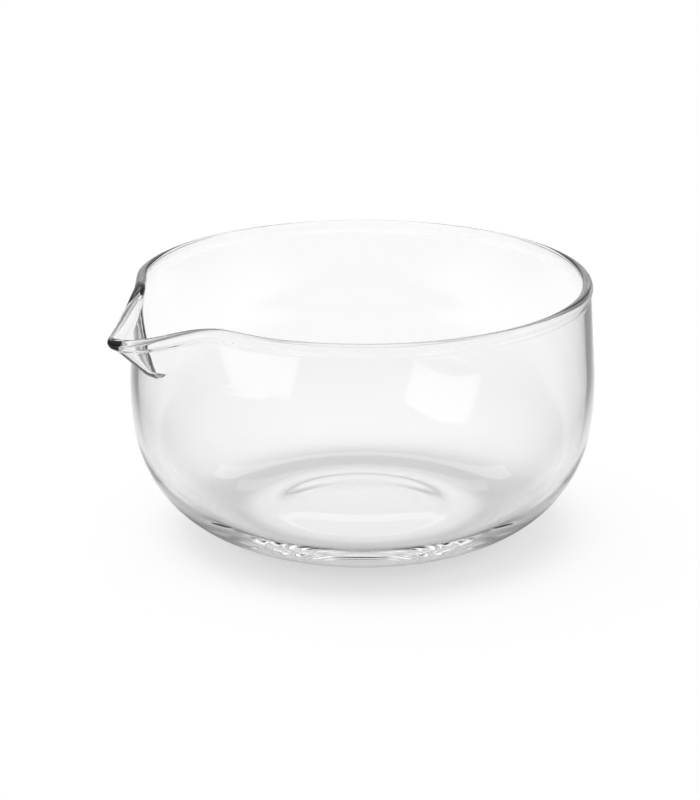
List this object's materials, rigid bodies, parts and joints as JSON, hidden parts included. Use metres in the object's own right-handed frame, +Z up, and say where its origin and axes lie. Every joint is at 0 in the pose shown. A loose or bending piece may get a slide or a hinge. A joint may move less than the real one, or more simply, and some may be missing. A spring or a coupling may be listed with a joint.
{
  "type": "matcha bowl",
  "caption": "Clear glass matcha bowl with a rounded body and bottom, a small ring foot, a thin fire-polished rim and a drawn pouring lip.",
  "frame": {"origin": "on the bowl's axis, on the plane that its foot stands on", "axes": "+Z up along the bowl's axis, -X out along the pouring lip, XZ the mirror plane"},
  "size_m": [0.1368, 0.125, 0.0689],
  "materials": {
    "clear_glass": "clear, colourless, fire-polished"
  },
  "bodies": {
    "root": {"glass_bowl": "clear_glass"}
  },
  "joints": []
}
